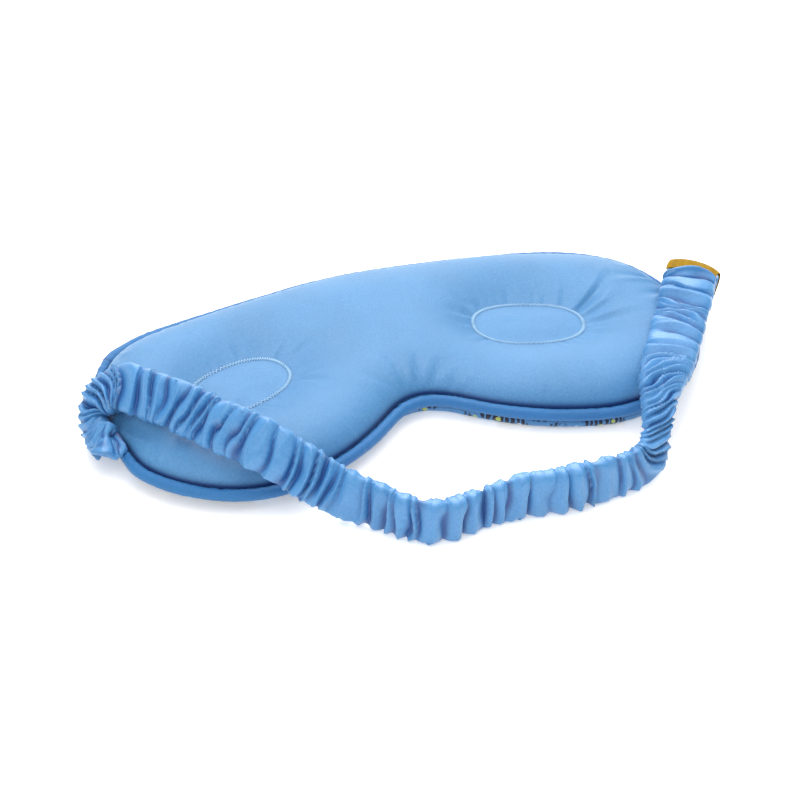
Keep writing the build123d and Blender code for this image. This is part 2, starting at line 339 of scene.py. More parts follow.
def eye_line(side, count):
    """Points round the stitched oval, and their outward directions."""
    turn = math.radians(-side * EYE_TILT)
    t = np.linspace(0, 2 * math.pi, count, endpoint=False)
    cos, sin = np.cos(t), np.sin(t)
    along = EYE_HALF[0] * np.sign(cos) * np.abs(cos) ** (2 / EYE_SQUARE)
    across = EYE_HALF[1] * np.sign(sin) * np.abs(sin) ** (2 / EYE_SQUARE)
    x = EYE_CENTRES[side][0] + along * math.cos(turn) - across * math.sin(turn)
    y = EYE_CENTRES[side][1] + along * math.sin(turn) + across * math.cos(turn)
    line = np.stack([x, y], 1)
    way = unit(np.roll(line, -1, 0) - np.roll(line, 1, 0))
    return line, np.stack([way[:, 1], -way[:, 0]], 1)


# each crease: start x, y, direction in degrees, bend, length, width, depth
PLACED_CREASES = [
    (64.5, 3.0, 22, 0.010, 23, 1.7, 0.95), (65.5, -0.5, 2, 0.012, 16, 1.5, 0.7), (66, -4.5, -18, 0.004, 20,
                                                                                  1.9, 0.75),
    (61.5, -8.5, -42, 0.0, 13, 1.5, 0.35), (60.5, 7.6, 50, 0.008, 12, 1.4, 0.45),
    (30.5, 11.5, 158, -0.01, 11, 1.5, 0.45), (32.2, 14.5, 128, -0.012, 10, 1.2, 0.4), (36.0, 16.5, 112, 0.0,
                                                                                       8, 1.1, 0.3),
    (-30.5, 10.5, 20, 0.01, 12, 1.5, 0.4), (-33, -2.5, -38, 0.0, 10, 1.6, 0.35),
    (-4.0, -12.5, 96, 0.006, 13, 1.5, 0.9), (1.0, -12.2, 74, -0.01, 12, 1.3, 0.75), (5.5, -14.6, 52, -0.008,
                                                                                     12, 1.6, 0.5),
    (-9.0, -15.5, 128, 0.004, 13, 2.0, 0.5), (9.5, -19.0, 48, 0.0, 9, 1.3, 0.35),
    (-95.0, -5.0, -62, 0.010, 24, 3.0, 1.7), (-94.5, -1.0, -12, 0.0, 16, 2.2, 0.8), (-94.0, 4.0, 20, 0.0, 14,
                                                                                     1.8, 0.5),
    (96.0, 8.0, 158, 0.006, 22, 1.8, 0.8), (95.0, 14.0, 140, 0.004, 14, 1.5, 0.5), (97.0, 0.5, 184, 0.0, 16,
                                                                                    1.8, 0.6),
    (92.0, 22.0, 132, 0.002, 12, 1.3, 0.35),
]


def uneven_creases(rng):
    """Small puckers: round each oval and all along the edge, at random places, lengths and depths."""
    marks = []
    for side in (-1, 1):
        line, out = eye_line(side, 360)
        for k in np.sort(rng.choice(360, 34, replace=False)):
            x, y = line[k] + out[k] * 0.6
            turn = math.degrees(math.atan2(out[k, 1], out[k, 0])) + rng.normal(0, 9)
            marks.append((x, y, turn, rng.normal(0, 0.01), rng.uniform(4, 9), rng.uniform(0.7, 1.2),
                          rng.uniform(0.08, 0.26)))
    line, out = mask_outline(360)
    for k in np.sort(rng.choice(360, 84, replace=False)):
        x, y = line[k] - out[k] * (PANEL_INSET + 0.5)
        turn = math.degrees(math.atan2(-out[k, 1], -out[k, 0])) + rng.normal(0, 12)
        marks.append((x, y, turn, rng.normal(0, 0.01), rng.uniform(4, 8), rng.uniform(0.8, 1.5),
                      rng.uniform(0.08, 0.26)))
    return marks


def crease_depth(x, y, marks):
    """Sum of creases: each is a valley with a soft ridge at its side, deepest just past its start,
    that widens and fades along its length."""
    total = np.zeros_like(x)
    for sx, sy, turn, bend, length, width, depth in marks:
        turn = math.radians(turn)
        along = (x - sx) * math.cos(turn) + (y - sy) * math.sin(turn)
        across = -(x - sx) * math.sin(turn) + (y - sy) * math.cos(turn) - bend * along ** 2
        share = np.clip(along / length, -0.3, 1)
        spread = width * (0.55 + 0.8 * np.clip(share, 0, 1))
        fade = smoothstep((share + 0.3) / 0.4) * smoothstep((1 - share) / 0.85)
        ridge = 0.7 * np.exp(-((across - 1.7 * spread) / spread) ** 2)
        total += depth * fade * (ridge - np.exp(-(across / spread) ** 2))
    return total


def draw_in(points, sizes):
    """The elastic draws the left tip of the mask in towards the middle, and the seam draws in the right of
    the brow."""
    moved = points.copy()
    x, y = points[..., 0], points[..., 1]
    moved[..., 0] += sizes.tip_draw * smoothstep((-x - 82) / 20) * smoothstep((y + 24) / 14)
    moved[..., 1] -= sizes.brow_draw * np.exp(-((x - 84) / 20) ** 2) * smoothstep((y - 15) / 30)
    return moved


def crown(inset, sizes):
    """How full the padding stands: nought at the seam, steep there, and one in the middle."""
    share = np.clip((inset - PANEL_INSET) / sizes.run_in, 0, 1)
    return (1 - (1 - share) ** 2.6) ** sizes.fullness


def back_level(x, y, inset, sizes, marks, skin=0.0):
    """Height of the padded back: the crown, less the sunk ovals, with creases and slow unevenness."""
    full = crown(inset, sizes)
    level = SEAM_LEVEL + 0.75 + (TOP_LEVEL - SEAM_LEVEL - 0.75) * full
    slow = np.sin(x * 0.071 + 0.6) * np.sin(y * 0.093 + 1.1) + 0.6 * np.sin(x * 0.13 - y * 0.11)
    bridge = np.exp(-((x - 4 + 0.25 * y) / 15) ** 2) * smoothstep((24 - y) / 40)
    level += full * (0.30 * slow - 1.3 * bridge - 0.35)
    level -= 2.4 * np.exp(-(((x - 80) / 22) ** 2 + ((y - 40) / 14) ** 2)) * full
    for side in (-1, 1):
        out = eye_distance(x, y, side)
        bank = np.exp(-(np.clip(out, 0, None) / sizes.eye_bank) ** 1.35)
        island = 0.6 * smoothstep(-out / 9.0)
        level -= sizes.eye_sink * bank - island
    if marks:
        quiet = smoothstep((inset - PANEL_INSET) / 1.2)
        near_eye = np.ones_like(x)
        for side in (-1, 1):
            near_eye *= smoothstep((eye_distance(x, y, side) + 0.4) / 1.0)
        level += crease_depth(x, y, marks) * quiet * near_eye
    return level - skin


def shell_grids(plan, level, under, sizes, painted_shade=None):
    """A closed padded form: the crowned side and the flat side over the same plan, sharing their first ring."""
    rings, ring_in, patch, patch_in = plan
    grids = []
    for xy, inset, z, crowned in ((rings, ring_in, level[0], True), (patch, patch_in, level[1], True),
                                  (rings, ring_in, None, False), (patch, patch_in, None, False)):
        if crowned:
            height = z.copy()
        else:
            height = np.full(inset.shape, under)
        if xy is rings:
            height[0] = under
        points = draw_in(np.concatenate([xy, height[..., None]], -1), sizes)
        shade = 0.0 if painted_shade is None or not crowned else painted_shade(xy, inset)
        grids.append((points, xy, shade))
    return grids


# ---------------------------------------------------------------- materials
def new_material(name):
    material = bpy.data.materials.new(name)
    material.use_nodes = True
    tree = material.node_tree
    return material, tree, tree.nodes["Principled BSDF"]


def node(tree, kind, settings=(), **links):
    """Add a node, set its settings, and link or set its inputs by name (spaces as _)."""
    made = tree.nodes.new(kind)
    for key, value in dict(settings).items():
        setattr(made, key, value)
    for key, value in links.items():
        numbered = key[0] == "i" and key[1:].isdigit()
        socket = made.inputs[int(key[1:]) if numbered else key.replace("_", " ")]
        if isinstance(value, bpy.types.NodeSocket):
            tree.links.new(value, socket)
        else:
            socket.default_value = value
    return made


def cloth_coordinates(tree, kind, scale):
    """Coordinates in mm: the piece's own Cloth map, or its Object coordinates."""
    if kind == "uv":
        source = node(tree, "ShaderNodeUVMap", {"uv_map": "Cloth"}).outputs["UV"]
        factor = (scale[0], scale[1], scale[2])
    else:
        source = node(tree, "ShaderNodeTexCoord").outputs["Object"]
        factor = tuple(1000 * s for s in scale)
    return node(tree, "ShaderNodeMapping", Vector=source, Scale=factor).outputs["Vector"]


def ramp(tree, factor, stops):
    made = node(tree, "ShaderNodeValToRGB", Fac=factor)
    elements = made.color_ramp.elements
    while len(elements) < len(stops):
        elements.new(0.5)
    for element, (place, colour) in zip(elements, stops):
        element.position = place
        element.color = colour
    return made.outputs["Color"]


def mix_colour(tree, factor, a, b, blend="MIX"):
    made = node(tree, "ShaderNodeMix", {"data_type": "RGBA", "blend_type": blend}, i0=factor)
    for socket, value in ((made.inputs[6], a), (made.inputs[7], b)):
        if isinstance(value, bpy.types.NodeSocket):
            tree.links.new(value, socket)
        else:
            socket.default_value = value
    return made.outputs[2]


def satin(name, colour, deep, coordinates="object", rough=0.42, grain=0.8, sheen=0.25, gloss_level=0.45):
    """Satin: fine slanting weave in bump and tone, slow unevenness of tone, and painted shade: a deeper colour
    mixed in by the piece's shade attribute.
    """
    material, tree, shader = new_material(name)
    weave = cloth_coordinates(tree, coordinates, (1.5, 1.5, 1.5))
    grain_noise = node(tree, "ShaderNodeTexNoise", Vector=weave, Scale=1.0, Detail=3.0,
                       Roughness=0.65).outputs["Fac"]
    slow_place = cloth_coordinates(tree, coordinates, (0.05, 0.05, 0.05))
    slow = node(tree, "ShaderNodeTexNoise", Vector=slow_place, Scale=1.0, Detail=2.0).outputs["Fac"]
    thread_place = cloth_coordinates(tree, coordinates, (1, 1, 1))
    threads = node(tree, "ShaderNodeTexWave", {"bands_direction": "DIAGONAL"}, Vector=thread_place,
                   Scale=1.1, Distortion=1.2, Detail=1.0).outputs["Fac"]
    painted_shade = node(tree, "ShaderNodeAttribute", {"attribute_name": "painted_shade"}).outputs["Fac"]
    tone = ramp(tree, slow, [(0.3, tuple(0.90 * c for c in colour[:3]) + (1,)), (0.7, colour)])
    fine = ramp(tree, grain_noise, [(0.32, (0.70, 0.80, 0.88, 1)), (0.68, (1.0, 1.0, 1.0, 1))])
    tone = mix_colour(tree, 1.0, tone, fine, "MULTIPLY")
    # painted shade: the deeper colour mixed in by the piece's shade attribute, in pleat valleys, seam grooves and
    # on the piping's inner side
    tone = mix_colour(tree, painted_shade, tone, deep)
    tree.links.new(tone, shader.inputs["Base Color"])
    gloss = node(tree, "ShaderNodeMapRange", Value=grain_noise, To_Min=rough - 0.06,
                 To_Max=rough + 0.08).outputs[0]
    tree.links.new(gloss, shader.inputs["Roughness"])
    height = node(tree, "ShaderNodeMath", {"operation": "MULTIPLY_ADD"}, i0=threads, i1=0.35,
                  i2=grain_noise).outputs[0]
    bump = node(tree, "ShaderNodeBump", Strength=grain, Distance=0.0002, Height=height).outputs["Normal"]
    tree.links.new(bump, shader.inputs["Normal"])
    shader.inputs["Specular IOR Level"].default_value = gloss_level
    shader.inputs["Sheen Weight"].default_value = sheen
    shader.inputs["Sheen Roughness"].default_value = 0.4
    shader.inputs["Sheen Tint"].default_value = (0.75, 0.87, 1.0, 1)
    return material


def printed_satin(name, colours):
    """The printed front: sprigs of dark leaves and pale flowers over the satin's blue."""
    material = satin(name, colours.panel, colours.panel_painted_shade)
    tree = material.node_tree
    shader = tree.nodes["Principled BSDF"]
    ground = shader.inputs["Base Color"].links[0].from_socket
    place = cloth_coordinates(tree, "object", (0.085, 0.085, 0.085))
    bend = node(tree, "ShaderNodeTexNoise", Vector=place, Scale=1.6, Detail=3.0).outputs["Color"]
    bent = mix_colour(tree, 0.32, place, bend, "ADD")
    turned = node(tree, "ShaderNodeMapping", Vector=bent, Rotation=(0.4, 0.2, 0.7),
                  Scale=(1.0, 2.6, 1.6)).outputs[0]
    leaves = node(tree, "ShaderNodeTexVoronoi", {"feature": "F1"}, Vector=turned, Scale=1.0, Randomness=0.9)
    leaf_cells = leaves.outputs["Distance"]
    leaf = ramp(tree, leaf_cells, [(0.62, (1, 1, 1, 1)), (0.65, (0, 0, 0, 1))])
    cut = node(tree, "ShaderNodeTexWave", {"wave_type": "BANDS"}, Vector=bent, Scale=2.4, Distortion=4.0,
               Detail=2.0).outputs["Fac"]
    veins = ramp(tree, cut, [(0.22, (0, 0, 0, 1)), (0.34, (1, 1, 1, 1))])
    sprig = mix_colour(tree, 1.0, leaf, veins, "MULTIPLY")
    patch = node(tree, "ShaderNodeTexNoise", Vector=place, Scale=0.9, Detail=1.0).outputs["Fac"]
    where = ramp(tree, patch, [(0.44, (0, 0, 0, 1)), (0.47, (1, 1, 1, 1))])
    sprig = mix_colour(tree, 1.0, sprig, where, "MULTIPLY")
    dots = node(tree, "ShaderNodeTexVoronoi", {"feature": "F1"}, Vector=bent, Scale=3.6, Randomness=1.0)
    dot = ramp(tree, dots.outputs["Distance"], [(0.20, (1, 1, 1, 1)), (0.27, (0, 0, 0, 1))])
    dot = mix_colour(tree, 1.0, dot, where, "MULTIPLY")
    pale = node(tree, "ShaderNodeSeparateColor", Color=dots.outputs["Color"]).outputs["Red"]
    is_pale = ramp(tree, pale, [(0.45, (0, 0, 0, 1)), (0.55, (1, 1, 1, 1))])
    petal = mix_colour(tree, is_pale, colours.lime, (0.60, 0.66, 0.80, 1))
    tone = mix_colour(tree, sprig, ground, colours.navy)
    tone = mix_colour(tree, dot, tone, petal)
    tree.links.new(tone, shader.inputs["Base Color"])
    return material


def thread_material(name, colour, pitch=0.22):
    """Twisted thread: slanting plies in bump and tone along the piece's own map."""
    material, tree, shader = new_material(name)
    place = cloth_coordinates(tree, "uv", (1, 1, 1))
    plies = node(tree, "ShaderNodeTexWave", {"bands_direction": "DIAGONAL"}, Vector=place, Scale=0.3 / pitch,
                 Distortion=0.6).outputs["Fac"]
    tone = ramp(tree, plies, [(0.1, tuple(0.72 * c for c in colour[:3]) + (1,)), (0.7, colour)])
    tree.links.new(tone, shader.inputs["Base Color"])
    bump = node(tree, "ShaderNodeBump", Strength=0.5, Distance=0.00006, Height=plies).outputs["Normal"]
    tree.links.new(bump, shader.inputs["Normal"])
    shader.inputs["Roughness"].default_value = 0.42
    shader.inputs["Sheen Weight"].default_value = 0.3
    return material


def woven(name, colour, dark, along, across, rough=0.55, coordinates="uv", sheen=0.2, gloss_level=0.5):
    """A coarse plain weave: two crossed waves make ribs and picks, with uneven tone."""
    material, tree, shader = new_material(name)
    place = cloth_coordinates(tree, coordinates, (1, 1, 1))
    warp = node(tree, "ShaderNodeTexWave", {"bands_direction": "X"}, Vector=place, Scale=along,
                Distortion=0.3).outputs["Fac"]
    weft = node(tree, "ShaderNodeTexWave", {"bands_direction": "Y"}, Vector=place, Scale=across,
                Distortion=0.3).outputs["Fac"]
    height = node(tree, "ShaderNodeMath", {"operation": "MULTIPLY"}, i0=warp, i1=weft).outputs[0]
    uneven = node(tree, "ShaderNodeTexNoise", Vector=place, Scale=0.6, Detail=4.0).outputs["Fac"]
    both = node(tree, "ShaderNodeMath", {"operation": "MULTIPLY_ADD"}, i0=height, i1=0.7,
                i2=uneven).outputs[0]
    tone = ramp(tree, both, [(0.35, dark), (0.95, colour)])
    tree.links.new(tone, shader.inputs["Base Color"])
    bump = node(tree, "ShaderNodeBump", Strength=0.6, Distance=0.00015, Height=height).outputs["Normal"]
    tree.links.new(bump, shader.inputs["Normal"])
    shader.inputs["Roughness"].default_value = rough
    shader.inputs["Sheen Weight"].default_value = sheen
    shader.inputs["Specular IOR Level"].default_value = gloss_level
    return material


def fibre_wadding(name, colour):
    """Lofty polyester wadding: crossed fibres as stretched noise in tone and bump."""
    material, tree, shader = new_material(name)
    place = cloth_coordinates(tree, "object", (0.5, 2.0, 1.0))
    fibres = node(tree, "ShaderNodeTexNoise", Vector=place, Scale=1.4, Detail=8.0, Roughness=0.7,
                  Distortion=1.5).outputs["Fac"]
    tone = ramp(tree, fibres, [(0.3, tuple(0.8 * c for c in colour[:3]) + (1,)), (0.7, colour)])
    tree.links.new(tone, shader.inputs["Base Color"])
    bump = node(tree, "ShaderNodeBump", Strength=0.8, Distance=0.0004, Height=fibres).outputs["Normal"]
    tree.links.new(bump, shader.inputs["Normal"])
    shader.inputs["Roughness"].default_value = 0.95
    shader.inputs["Sheen Weight"].default_value = 0.4
    return material


# ---------------------------------------------------------------- the strap's line
def strap_stations():
    """Stations as arrays: centre, direction of the width, bunching, with the sewn ends added."""
    table = np.array(LEFT_ROUTE + FRONT_ROUTE + RIGHT_ROUTE + BIGHT_ROUTE + RETURN_ROUTE)
    x, y, rests, facing, lean, bunching = table.T
    facing, lean = np.radians(facing), np.radians(lean)
    rise = np.abs(np.sin(lean)) * SLEEVE_WIDTH * bunching / 2 + np.cos(lean) * SLEEVE_THICKNESS / 2
    centre = np.stack([x, y, rests + CLEARANCE + rise], 1)
    width = np.stack([np.cos(lean) * np.cos(facing), np.cos(lean) * np.sin(facing), np.sin(lean)], 1)
    shift = np.array([SEWN_DEPTH, 0, 0])
    centre = np.vstack([centre[0] + LEFT_SEWN * shift, centre, centre[-1] - shift])
    width = np.vstack([width[0], width, width[-1]])
    bunching = np.r_[0.75 * bunching[0], bunching, bunching[-1]]
    return centre, width, bunching


def smooth_through(values, at):
    """Catmull-Rom curve through the values at whole numbers, read at the numbers in at."""
    last = len(values) - 1
    k = np.clip(np.floor(at).astype(int), 0, last - 1)
    t = (at - k)[:, None] if values.ndim > 1 else at - k
    a, b = values[np.clip(k - 1, 0, last)], values[k]
    c, d = values[k + 1], values[np.clip(k + 2, 0, last)]
    cubic = (3 * b - a - 3 * c + d) * t ** 3
    return 0.5 * (2 * b + (c - a) * t + (2 * a - 5 * b + 4 * c - d) * t ** 2 + cubic)


class StrapLine:
    """The strap's centre line, with its width and face directions, by distance along it in mm."""

    def __init__(self):
        centre, width, bunching = strap_stations()
        fine = np.linspace(0, len(centre) - 1, 4000)
        line = smooth_through(centre, fine)
        run = np.r_[0, np.cumsum(np.linalg.norm(np.diff(line, axis=0), axis=1))]
        self.length = run[-1]
        self.fine, self.run = fine, run
        self.centre, self.width, self.bunching = centre, width, bunching
        self.stations = np.interp(np.arange(len(centre)), fine, run)

    def at(self, s):
        where = np.interp(s, self.run, self.fine)
        here = smooth_through(self.centre, where)
        ahead = smooth_through(self.centre, np.clip(where + 0.02, 0, len(self.centre) - 1))
        behind = smooth_through(self.centre, np.clip(where - 0.02, 0, len(self.centre) - 1))
        way = unit(ahead - behind)
        width = smooth_through(self.width, where)
        width = unit(width - way * (width * way).sum(1, keepdims=True))
        return here, way, width, np.cross(way, width), smooth_through(self.bunching, where)


class Pleats:
    """Uneven pleats across the strap: where each valley lies along it, how deep and broad it is, and the
    side that it opens to."""

    def __init__(self, line, sizes):
        rng = np.random.default_rng(sizes.seed)
        stations = line.stations
        self.fan = (stations[1], stations[7])
        self.neck = (stations[21], stations[25])
        self.hem = stations[29] - 3.0
        self.after = stations[33] - 2.0
        self.middle = stations[17] + 3.0
        places, here = [], -2.0
        while here < line.length + 4:
            pitch = sizes.pleat_pitch * rng.choice([0.5, 0.7, 0.95, 1.25, 1.65]) * rng.uniform(0.9, 1.15)
            if self.fan[0] - 2 < here < self.fan[1]:
                pitch = 2.2 * rng.uniform(0.7, 1.35)
            elif self.neck[0] < here < self.neck[1]:
                pitch = 2.9 * rng.uniform(0.6, 1.4)
            elif here > self.neck[1]:
                pitch *= 0.85
            here += pitch
            places.append(here)
        places = np.array(places)
        self.seam_index = int(np.argmin(np.abs(places - self.middle)))
        self.middle = places[self.seam_index]
        self.places = places
        count = len(places)
        self.depth = rng.uniform(0.72, 1.0, count)
        self.depth[rng.random(count) < 0.15] *= 0.5
        self.depth[self.seam_index] = 1.0
        self.opens = rng.choice([-1.0, 1.0], count) * rng.uniform(0.3, 1.0, count)
        self.breadth = rng.uniform(0.65, 1.7, count)
        self.height = rng.uniform(0.7, 1.2, count + 1)
        gaps = np.diff(places)
        self.gap = np.r_[gaps[0], np.minimum(gaps[:-1], gaps[1:]), gaps[-1]]
        self.rng_seed = int(rng.integers(1 << 30))


def sleeve_surface(line, pleats, sizes, s, turns, shrink=0.0):
    """The gathered sleeve: a flat oval carried along the strap.  Its half thickness is a floor plus a ridge that
    falls to a sharp valley at every pleat; ridges stand out at the edges as a frill, and lean along the strap."""
    here, way, width, face, bunching = line.at(s)
    rng = np.random.default_rng(pleats.rng_seed)
    turn = np.linspace(0, 2 * math.pi, turns + 1)
    turn[-1] = 0
    cos, sin = np.cos(turn)[None], np.sin(turn)[None]
    across = np.sign(cos) * np.abs(cos) ** 0.8
    through = np.sign(sin) * np.abs(sin) ** 0.62
    along = s[:, None]

    quiet = smoothstep(np.abs(along - pleats.middle) / 5.0)
    slant = 1.5 * wavy(along[..., 0] * 1.0, rng, 5, 0.03, 0.12)[:, None]
    twist = smoothstep((along - pleats.neck[0]) / 10) * (1 - smoothstep((along - pleats.neck[1]) / 12))
    slant = slant + 5.5 * twist
    bow = 0.9 * wavy(along[..., 0] + 50, rng, 4, 0.05, 0.2)[:, None]
    wander = 0.45 * np.sin(along * 0.9 + 2.3 * across + 1.7 * wavy(along[..., 0], rng, 3, 0.1, 0.3)[:, None])
    s_curve = 0.6 * np.sin(2.4 * across + wavy(along[..., 0], rng, 4, 0.08, 0.25)[:, None] * 2)
    sigma = along + quiet * (slant * across + bow * (1 - across ** 2) * through + wander + s_curve)

    count = np.interp(sigma, pleats.places, np.arange(len(pleats.places)))
    nearest = np.clip(np.rint(count).astype(int), 0, len(pleats.places) - 1)
    off = np.abs(count - nearest)
    opening = 0.5 + 0.5 * across * pleats.opens[nearest]
    depth = pleats.depth[nearest] * (0.25 + 0.75 * smoothstep(0.15 + 1.5 * opening))
    breadth = np.minimum(pleats.breadth[nearest] * (0.35 + 0.95 * opening), 0.34 * pleats.gap[nearest])
    valley = np.exp(-(off * pleats.gap[nearest] / breadth) ** 1.3)
    dome = 0.64 + 0.36 * np.sin(math.pi * off) ** 0.9
    dome = dome + 0.13 * np.exp(-((off * pleats.gap[nearest] - 1.7 * breadth) / 0.42) ** 2)
    ridge = dome * (1 - depth * valley)
    height = np.interp(count, np.arange(len(pleats.height)) - 0.5, pleats.height)

    small = np.sin(sigma * 2 * math.pi / 2.3 + 2.5 * np.sin(sigma * 0.7) + 1.3 * across)
    edge = smoothstep((np.abs(across) - 0.55) / 0.45)
    amount = 1 - smoothstep((along - pleats.hem) / 3.0) * (1 - 0.55 * smoothstep((along - pleats.after) / 3.0))
    facing_down = np.clip(-(face[:, None, 2] * np.sign(sin)), 0, 1)
    sewn = 0.22 + 0.78 * smoothstep((along - line.stations[1] - 0.5) / 5.5)
    tall = sizes.pleat_height * height * amount * sewn * (1 - 0.5 * facing_down)
    floor_half = 0.95 + 0.25 * (1 - amount)
    pinch = 0.75 + 0.25 * np.clip((bunching[:, None] - 0.6) / 0.4, 0, 1)
    half_thick = floor_half + tall * ridge * pinch + amount * 0.09 * small * (0.25 + edge)
    frill = amount * sizes.frill * pinch * (1.2 * (0.45 * dome + 0.55 * ridge) * height - 0.6 + 0.08 * small * edge)
    half_wide = SLEEVE_WIDTH / 2 * bunching[:, None] + frill
    lean = 0.55 * wavy(along[..., 0] + 9, rng, 5, 0.03, 0.1)[:, None]
    push = amount * (lean * tall * (ridge - 0.5) * (0.4 + 0.6 * np.abs(through)) + 0.12 * edge * small)
    curl = amount * edge * 0.35 * np.sin(count * 2 * math.pi + 2.0 * pleats.opens[nearest])
    bight = smoothstep((along - line.stations[28]) / 6) * (1 - smoothstep((along - line.stations[32]) / 6))
    arch = 1.9 * bight * (1 - across ** 2)

    half_wide = half_wide - shrink * 0.8
    half_thick = np.maximum(half_thick - shrink, 0.62)
    offset = (width[:, None] * (across * half_wide)[..., None]
              + face[:, None] * (through * half_thick + curl)[..., None]
              + way[:, None] * push[..., None])
    outward = np.array([0.72, 0.69, 0.0])
    points = here[:, None] + offset + outward * arch[..., None]
    # painted shade: the deep colour in each pleat valley, strongest on the flat faces, weaker at the edges and past
    # the hem
    painted_shade = smoothstep((0.62 - ridge) / 0.5) * amount * (0.45 + 0.55 * np.abs(through))
    uv = np.stack([np.broadcast_to(along * 1.0, points.shape[:2]) + 0.6 * tall * ridge,
                   np.broadcast_to(turn[None] * SLEEVE_WIDTH / math.pi, points.shape[:2])], -1)
    uv[:, -1, 1] = 2 * SLEEVE_WIDTH
    return points, uv, painted_shade


def lift_off(points, low):
    """Keep the cloth above the surface that it stands on."""
    height = points[..., 2]
    points[..., 2] = np.where(height < low + 0.6, low + 0.6 * np.exp((height - low - 0.6) / 0.6), height)
    return points


# ---------------------------------------------------------------- operators
class MASK_OT_stage(bpy.types.Operator):
    """Lay the pale floor, and set the lights and the camera"""
    bl_idname = "sleep_mask.stage"
    bl_label = "Stage"

    def execute(self, context):
        scene = context.scene
        mesh = bpy.data.meshes.new("floor")
        side = np.linspace(-6000, 6000, 3)
        gx, gy = np.meshgrid(side, side)
        points = np.stack([gx, gy, np.full_like(gx, -0.05)], -1).reshape(-1, 3) * MM
        index = np.arange(9).reshape(3, 3)
        quads = np.stack([index[:-1, :-1], index[:-1, 1:], index[1:, 1:], index[1:, :-1]], -1).reshape(-1, 4)
        mesh.from_pydata(points, [], quads)
        floor = bpy.data.objects.new("floor", mesh)
        scene.collection.objects.link(floor)
        material, tree, shader = new_material("floor_paper")
        shader.inputs["Base Color"].default_value = (0.95, 0.925, 0.89, 1)
        shader.inputs["Roughness"].default_value = 0.9
        shader.inputs["Specular IOR Level"].default_value = 0.1
        shader.inputs["Emission Color"].default_value = (1, 1, 1, 1)
        shader.inputs["Emission Strength"].default_value = 0.32
        mesh.materials.append(material)

        world = bpy.data.worlds.new("studio")
        scene.world = world
        world.use_nodes = True
        world.node_tree.nodes["Background"].inputs["Color"].default_value = (1.0, 1.0, 1.0, 1)
        world.node_tree.nodes["Background"].inputs["Strength"].default_value = 0.6
        scene.view_settings.view_transform = "Standard"
        scene.view_settings.look = "None"

        for name, place, size, power in (
                ("key_lamp", (0.42, 1.15, 1.05), 1.2, 22.0),
                ("front_lamp", (-1.2, -1.0, 1.5), 1.4, 12.0),
                ("over_lamp", (0.1, 0.0, 1.6), 2.0, 17.5)):
            data = bpy.data.lights.new(name, "AREA")
            data.shape = "DISK"
            data.size = size
            data.energy = power
            lamp = bpy.data.objects.new(name, data)
            lamp.location = place
            aim = Vector((0.0, -0.01, 0.01)) - lamp.location
            lamp.rotation_euler = aim.to_track_quat("-Z", "Y").to_euler()
            scene.collection.objects.link(lamp)

        azimuth, elevation, roll = (math.radians(a) for a in (-26.515, 38.148, 4.455))
        back = Vector((math.sin(azimuth) * math.cos(elevation), -math.cos(azimuth) * math.cos(elevation),
                       math.sin(elevation)))
        level = Vector((math.cos(azimuth), math.sin(azimuth), 0.0))
        over = back.cross(level)
        right = level * math.cos(roll) + over * math.sin(roll)
        up = over * math.cos(roll) - level * math.sin(roll)
        data = bpy.data.cameras.new("camera")
        data.sensor_width = 36.0
        data.lens = 164.09
        data.clip_start, data.clip_end = 0.05, 50.0
        camera = bpy.data.objects.new("camera", data)
        matrix = Matrix((right, up, back)).transposed().to_4x4()
        matrix.translation = Vector((-0.40512, -0.81538, 0.70867))
        camera.matrix_world = matrix
        scene.collection.objects.link(camera)
        scene.camera = camera
        return {"FINISHED"}


class MASK_OT_back(bpy.types.Operator):
    """Sew the padded satin back with its sunk ovals and its puckers, and the padding in it"""
    bl_idname = "sleep_mask.back"
    bl_label = "Padded Back"

    def execute(self, context):
        scene = context.scene
        sizes, colours = scene.mask_sizes, scene.mask_colours
        rng = np.random.default_rng(5)
        marks = PLACED_CREASES + uneven_creases(rng)
        plan = panel_plan(sizes.around, sizes.up, 26, PANEL_INSET)
        level = [back_level(xy[..., 0], xy[..., 1], inset, sizes, marks)
                 for xy, inset in (plan[:2], plan[2:])]

        def seam_shade(xy, inset):
            """Darkest in the groove at the seam and along the stitched line."""
            shade = np.exp(-np.clip(inset - PANEL_INSET - 0.15, 0, None) / 0.3)
            for side in (-1, 1):
                out = eye_distance(xy[..., 0], xy[..., 1], side)
                shade = np.maximum(shade, 0.35 * np.exp(-((out - 0.2) / 0.9) ** 2))
            return shade

        cloth = satin("back_satin", colours.panel, colours.panel_painted_shade)
        grids = shell_grids(plan, level, SEAM_LEVEL + 0.78, sizes, seam_shade)
        back = make_piece("back_panel_satin", grids, cloth, "mask", ("back_panel",), 2e-6)
        sharpen(back, 75)

        plan = panel_plan(100, 44, 10, PANEL_INSET + 0.9)
        level = [back_level(xy[..., 0], xy[..., 1], inset, sizes, marks, 1.0)
                 for xy, inset in (plan[:2], plan[2:])]
        grids = shell_grids(plan, level, SEAM_LEVEL + 1.3, sizes)
        padding = make_piece("back_padding_wadding", grids, fibre_wadding("back_fibre", colours.white),
                             "mask", ("back_padding",), 2e-6)
        sharpen(padding, 60)
        return {"FINISHED"}


def front_profile(rows):
    """Insets and levels down the side of the front: it bulges out under the piping and turns in onto the table."""
    key = np.array([(4.7, 5.45), (3.6, 4.75), (2.7, 3.9), (2.1, 3.0), (1.9, 2.2), (2.2, 1.3), (3.2, 0.5),
                    (4.9, 0.08), (8.0, 0.0), (CORE_INSET, 0.0)])
    where = np.linspace(0, len(key) - 1, rows)
    smooth = smooth_through(key, where)
    return smooth[:, 0], np.clip(smooth[:, 1], 0.0, None)


